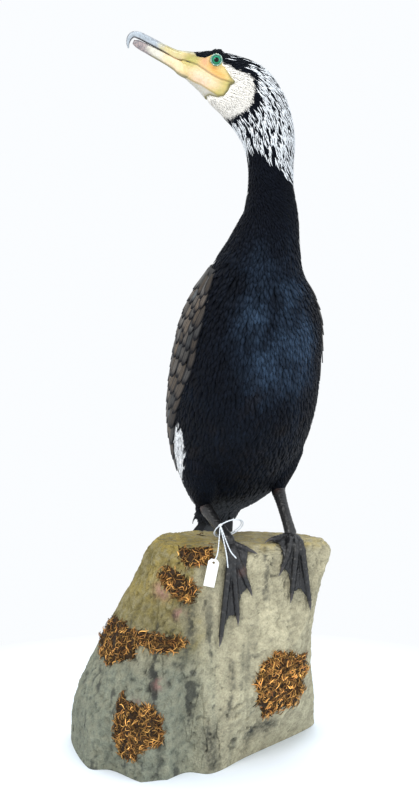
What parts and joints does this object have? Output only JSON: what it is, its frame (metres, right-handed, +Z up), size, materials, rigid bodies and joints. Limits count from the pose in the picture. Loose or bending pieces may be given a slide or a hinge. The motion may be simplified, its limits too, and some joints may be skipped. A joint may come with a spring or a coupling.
{
  "type": "mounted great cormorant on a cast rock",
  "caption": "Mounted great cormorant in breeding plumage, upright with folded wings and head turned to its right, webbed feet draped over the edge of a cast rock with moss patches.",
  "frame": {"origin": "on the flat underside of the rock, below the bird", "axes": "+Z up, -Y towards the viewer of the picture, +X to the viewer's right"},
  "size_m": [0.2991, 0.2583, 0.8027],
  "materials": {
    "plumage_black": "blue-black feathers with a soft gloss",
    "covert_bronze": "bronze-grey feathers with black edges",
    "plumage_white": "white breeding feathers",
    "bare_skin": "bare yellow and orange skin of the face",
    "bill_horn": "horn, satin, bluish at the tip and yellow at the base",
    "claw_horn": "dark horn, satin",
    "eye_green": "glossy glass eye, green with a black pupil",
    "leg_black": "dry black scaled skin",
    "rock_plaster": "painted plaster, matt, buff and grey-green",
    "moss": "dry orange-brown fibrous moss",
    "card_white": "plain white card",
    "string_white": "white cotton string"
  },
  "bodies": {
    "root": {"rock_base": "rock_plaster", "moss_patch_1": "moss", "moss_patch_2": "moss", "moss_patch_3": "moss", "moss_patch_4": "moss", "moss_patch_5": "moss", "tag_card": "card_white", "tag_string": "string_white", "torso": "plumage_black", "neck_lower": "plumage_black", "neck_upper": "plumage_black", "head": "plumage_black", "bill_upper": "bill_horn", "bill_lower": "bill_horn", "eye_left": "eye_green", "eye_right": "eye_green", "wing_left": "covert_bronze", "wing_right": "covert_bronze", "tail": "plumage_black", "thigh_left": "plumage_black", "thigh_right": "plumage_black", "shank_left": "leg_black", "shank_right": "leg_black", "foot_left": "leg_black", "foot_right": "leg_black", "claw_left_1": "claw_horn", "claw_left_2": "claw_horn", "claw_left_3": "claw_horn", "claw_left_4": "claw_horn", "claw_right_1": "claw_horn", "claw_right_2": "claw_horn", "claw_right_3": "claw_horn", "claw_right_4": "claw_horn"}
  },
  "joints": []
}
